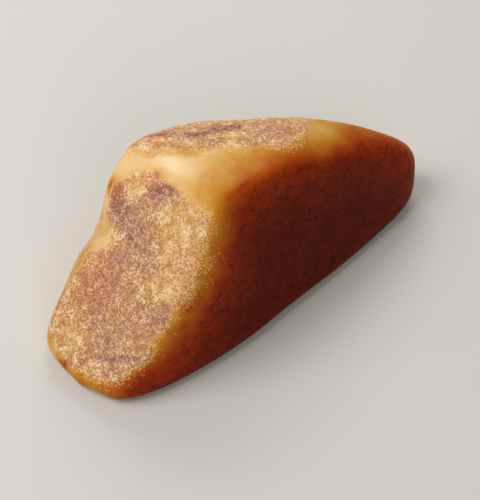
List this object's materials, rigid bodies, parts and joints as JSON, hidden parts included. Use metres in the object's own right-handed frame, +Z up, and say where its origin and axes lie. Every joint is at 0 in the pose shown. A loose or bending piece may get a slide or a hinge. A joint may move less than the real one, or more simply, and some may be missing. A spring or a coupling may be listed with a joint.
{
  "type": "raw amber piece",
  "caption": "Worn lump of raw amber with blunt faces, a grainy weathered crust on some and smooth waxy or dark crackled resin on the rest, lying on a flat underside.",
  "frame": {"origin": "on the resting plane, under the middle of the bounding box", "axes": "+X along the long way of the lump, towards its narrow rounded end; +Z up from the flat underside; the dark crackled face looks along -Y"},
  "size_m": [0.0766, 0.035, 0.0291],
  "materials": {
    "amber": "raw amber: waxy translucent resin, granular weathered crust and dark crackled skin"
  },
  "bodies": {
    "root": {"amber_piece": "amber"}
  },
  "joints": []
}
